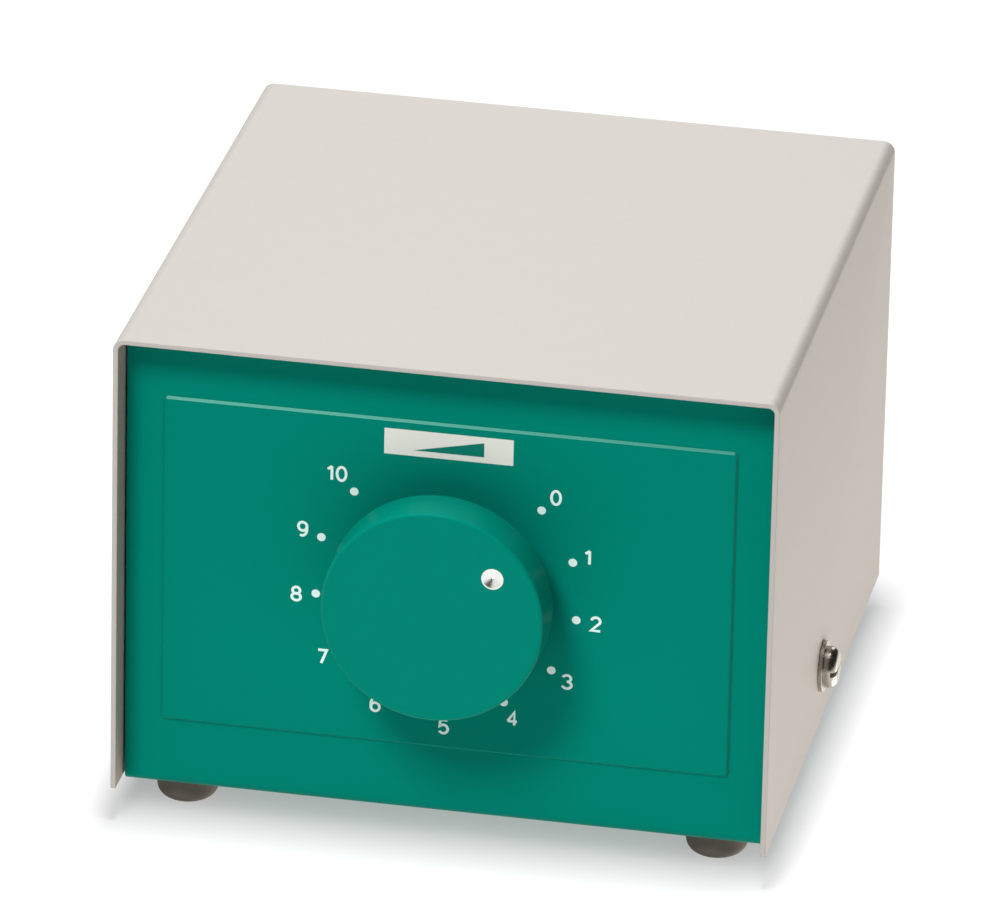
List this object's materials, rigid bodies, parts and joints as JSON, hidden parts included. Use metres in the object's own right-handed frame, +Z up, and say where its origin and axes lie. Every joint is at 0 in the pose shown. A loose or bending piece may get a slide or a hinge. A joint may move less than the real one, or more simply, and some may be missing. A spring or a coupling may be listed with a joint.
{
  "type": "power controller",
  "caption": "Bench mains power controller: folded grey cover over a green chassis with a recessed front, one large dial knob on a numbered scale, rear mains sockets and rubber feet.",
  "frame": {"origin": "on the table under the middle of the whole object, knob included", "axes": "+X to the right as seen from the front, +Y from the front panel to the rear, +Z up"},
  "size_m": [0.158, 0.1652, 0.1185],
  "materials": {
    "cover_paint": "fine textured powder coat",
    "chassis_paint": "satin paint",
    "label_plastic": "satin",
    "knob_plastic": "satin moulding",
    "marker_metal": "turned, bright",
    "plated_steel": "zinc plated",
    "foot_rubber": "matt",
    "turned_brass": "turned",
    "socket_plastic": "fine matt moulding",
    "track_laminate": "phenolic laminate",
    "board_laminate": "glass epoxy laminate",
    "sink_aluminium": "extruded",
    "part_plastic": "moulded case",
    "semiconductor_plastic": "moulded case",
    "choke_core": "pressed iron powder",
    "choke_copper": "enamelled copper",
    "resistor_film": "lacquer",
    "terminal_plastic": "moulded",
    "fuse_glass": "clear",
    "brown_insulation": "satin",
    "blue_insulation": "satin",
    "earth_insulation": "satin",
    "grey_insulation": "satin"
  },
  "bodies": {
    "case": {"cover": "cover_paint", "chassis": "chassis_paint", "front_label": "label_plastic", "cover_screws": "plated_steel", "cover_washers": "plated_steel", "cover_nuts": "plated_steel", "foot_front_left": "foot_rubber", "foot_front_right": "foot_rubber", "foot_rear_left": "foot_rubber", "foot_rear_right": "foot_rubber", "foot_screws": "plated_steel", "foot_nuts": "plated_steel", "pot_bushing": "turned_brass", "pot_can": "plated_steel", "pot_track": "track_laminate", "pot_tags": "turned_brass", "pot_washer": "plated_steel", "pot_nut": "plated_steel", "inlet_body": "socket_plastic", "inlet_pins": "plated_steel", "inlet_screws": "plated_steel", "inlet_nuts": "plated_steel", "outlet_body": "socket_plastic", "outlet_contacts": "turned_brass", "outlet_earth_clips": "plated_steel", "outlet_screws": "plated_steel", "outlet_nuts": "plated_steel", "control_board": "board_laminate", "board_standoffs": "turned_brass", "standoff_screws": "plated_steel", "board_screws": "plated_steel", "heat_sink": "sink_aluminium", "sink_screws": "plated_steel", "triac": "semiconductor_plastic", "triac_screw": "plated_steel", "choke_core": "choke_core", "choke_winding": "choke_copper", "suppressor_capacitor": "part_plastic", "timing_capacitor": "part_plastic", "resistors": "resistor_film", "terminal_block": "terminal_plastic", "terminal_screws": "plated_steel", "earth_screw": "plated_steel", "earth_tags": "plated_steel", "earth_nut": "plated_steel", "live_wire": "brown_insulation", "neutral_wire": "blue_insulation", "load_wires": "brown_insulation", "earth_wires": "earth_insulation", "pot_leads": "grey_insulation"},
    "dial": {"knob": "knob_plastic", "knob_insert": "turned_brass", "knob_set_screw": "plated_steel", "knob_marker": "marker_metal", "pot_shaft": "plated_steel", "pot_wiper": "turned_brass"},
    "drawer": {"fuse_drawer": "socket_plastic", "fuse_links": "fuse_glass"}
  },
  "joints": [
    {"name": "dial_turn", "type": "hinge", "parent": "case", "child": "dial", "pos_m": [0, -0.0654, 0.06325], "axis": [0, 1, 0], "range_deg": [-6, 264]},
    {"name": "fuse_drawer_slide", "type": "slide", "parent": "case", "child": "drawer", "axis": [0, 1, 0], "range_m": [0, 0.015]}
  ]
}
